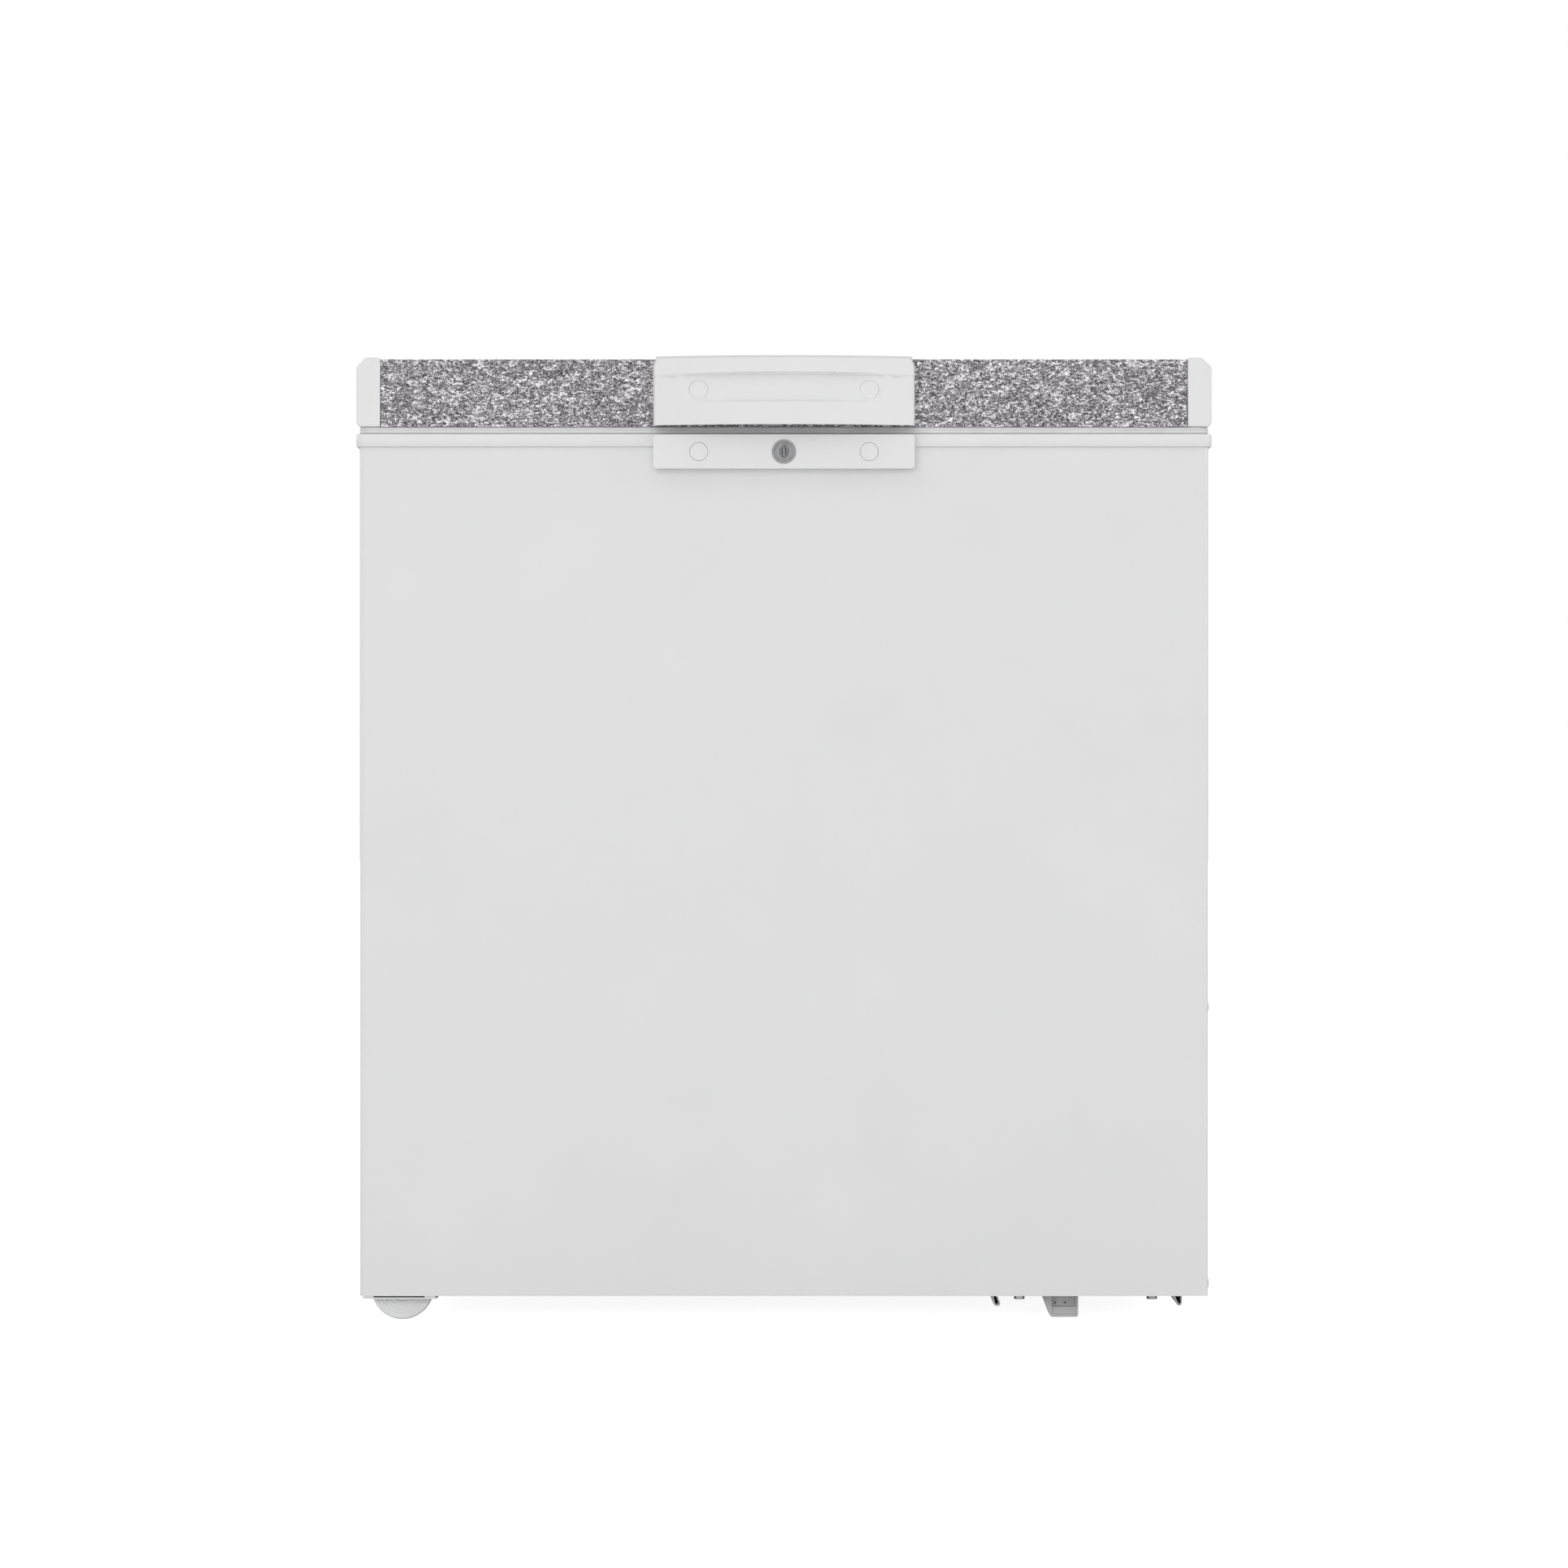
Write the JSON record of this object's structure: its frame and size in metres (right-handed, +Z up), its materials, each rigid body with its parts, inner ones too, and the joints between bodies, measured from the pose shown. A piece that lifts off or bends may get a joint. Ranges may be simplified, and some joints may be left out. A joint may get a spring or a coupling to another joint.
{
  "type": "chest freezer",
  "caption": "Small chest freezer with a hinged speckled lid, bowed handle, key lock, rollers at the left end and feet at the right.",
  "frame": {"origin": "on the floor, under the centre of the bounding box", "axes": "+Z up, -Y to the front with the handle, +X to the right-hand end with the machine room"},
  "size_m": [0.755, 0.725, 0.85],
  "materials": {
    "white_skin": "semi-gloss pre-painted steel",
    "zinc_steel": "zinc-plated sheet steel",
    "liner": "fine embossed painted aluminium",
    "foam": "closed-cell polyurethane foam, matte",
    "white_plastic": "satin moulded plastic",
    "evaporator_metal": "drawn aluminium tube",
    "condenser_steel": "copper-coated steel tube, dull",
    "black_paint": "satin black enamel",
    "black_rubber": "moulded rubber",
    "bolt_steel": "bright zinc plate",
    "black_plastic": "textured moulded plastic",
    "copper": "drawn copper, dull",
    "grey_plastic": "matte moulded plastic",
    "green_lens": "clear moulded lens",
    "red_lens": "clear moulded lens",
    "grey_panel": "matte painted steel",
    "lock_metal": "worn satin nickel",
    "spring_steel": "oiled spring wire",
    "speckled_laminate": "matte granite-speckle film on steel",
    "gasket_grey": "soft extruded vinyl",
    "roller_plastic": "matte moulded plastic",
    "knob_plastic": "satin moulded plastic",
    "switch_orange": "gloss translucent rocker",
    "coated_wire": "white dip-coated wire"
  },
  "bodies": {
    "cabinet": {"outer_wrapper": "white_skin", "rear_panel": "zinc_steel", "base_panel": "zinc_steel", "machine_room_wall": "zinc_steel", "inner_liner": "liner", "cabinet_foam": "foam", "top_frame": "white_plastic", "evaporator_tube": "evaporator_metal", "condenser_tube": "condenser_steel", "compressor": "black_paint", "compressor_grommets": "black_rubber", "compressor_bolts": "bolt_steel", "compressor_tray": "white_skin", "relay_cover": "black_plastic", "filter_drier": "copper", "capillary_tube": "copper", "suction_tube": "copper", "discharge_tube": "copper", "thermostat": "grey_plastic", "thermostat_sensor": "copper", "control_panel": "white_plastic", "power_lamp": "green_lens", "alarm_lamp": "red_lens", "side_grille": "white_plastic", "grille_screws": "bolt_steel", "rear_cover": "grey_panel", "mains_gland": "black_plastic", "drain_tube": "white_plastic", "lock_plate": "white_plastic", "plate_screw_covers": "white_plastic", "plate_screws": "bolt_steel", "lock_housing": "lock_metal", "roller_housings": "white_plastic", "roller_axles": "zinc_steel", "feet": "white_plastic", "hinge_brackets": "zinc_steel", "hinge_pins": "zinc_steel", "hinge_springs": "spring_steel", "hinge_covers": "white_plastic", "hinge_screws": "bolt_steel"},
    "lid": {"lid_top": "speckled_laminate", "lid_foam": "foam", "lid_inner_panel": "white_plastic", "lid_side_trims": "white_plastic", "lid_gasket": "gasket_grey", "handle": "white_plastic", "handle_screw_covers": "white_plastic", "lid_screws": "bolt_steel", "lock_keeper": "zinc_steel", "hinge_leaves": "zinc_steel"},
    "lock": {"lock_barrel": "lock_metal", "lock_cam": "zinc_steel"},
    "front_roller": {"roller_front": "roller_plastic"},
    "rear_roller": {"roller_rear": "roller_plastic"},
    "knob": {"thermostat_knob": "knob_plastic"},
    "switch": {"fast_freeze_switch": "switch_orange"},
    "plug": {"drain_plug": "grey_plastic"},
    "basket": {"basket": "coated_wire"},
    "front_bail": {"basket_handle_front": "coated_wire"},
    "rear_bail": {"basket_handle_rear": "coated_wire"}
  },
  "joints": [
    {"name": "lid_hinge", "type": "hinge", "parent": "cabinet", "child": "lid", "pos_m": [0, 0.3535, 0.786], "axis": [-1, 0, 0], "range_deg": [0, 85]},
    {"name": "lock_turn", "type": "hinge", "parent": "cabinet", "child": "lock", "pos_m": [0, -0.34, 0.7662], "axis": [0, -1, 0], "range_deg": [0, 90]},
    {"name": "front_roller_spin", "type": "hinge", "parent": "cabinet", "child": "front_roller", "pos_m": [-0.338, -0.298, 0.0275], "axis": [0, 1, 0], "continuous": true},
    {"name": "rear_roller_spin", "type": "hinge", "parent": "cabinet", "child": "rear_roller", "pos_m": [-0.338, 0.298, 0.0275], "axis": [0, 1, 0], "continuous": true},
    {"name": "knob_turn", "type": "hinge", "parent": "cabinet", "child": "knob", "pos_m": [0.366, -0.225, 0.21], "axis": [1, 0, 0], "range_deg": [0, 270]},
    {"name": "switch_rock", "type": "hinge", "parent": "cabinet", "child": "switch", "pos_m": [0.36, -0.168, 0.21], "axis": [0, -1, 0], "range_deg": [0, 16]},
    {"name": "plug_lift", "type": "slide", "parent": "cabinet", "child": "plug", "axis": [0, 0, 1], "range_m": [0, 0.03]},
    {"name": "basket_slide", "type": "slide", "parent": "cabinet", "child": "basket", "axis": [1, 0, 0], "range_m": [-0.38, 0]},
    {"name": "front_bail_swing", "type": "hinge", "parent": "basket", "child": "front_bail", "pos_m": [0.19, -0.24725, 0.716], "axis": [1, 0, 0], "range_deg": [0, 175]},
    {"name": "rear_bail_swing", "type": "hinge", "parent": "basket", "child": "rear_bail", "pos_m": [0.19, 0.26475, 0.716], "axis": [-1, 0, 0], "range_deg": [0, 175]}
  ]
}
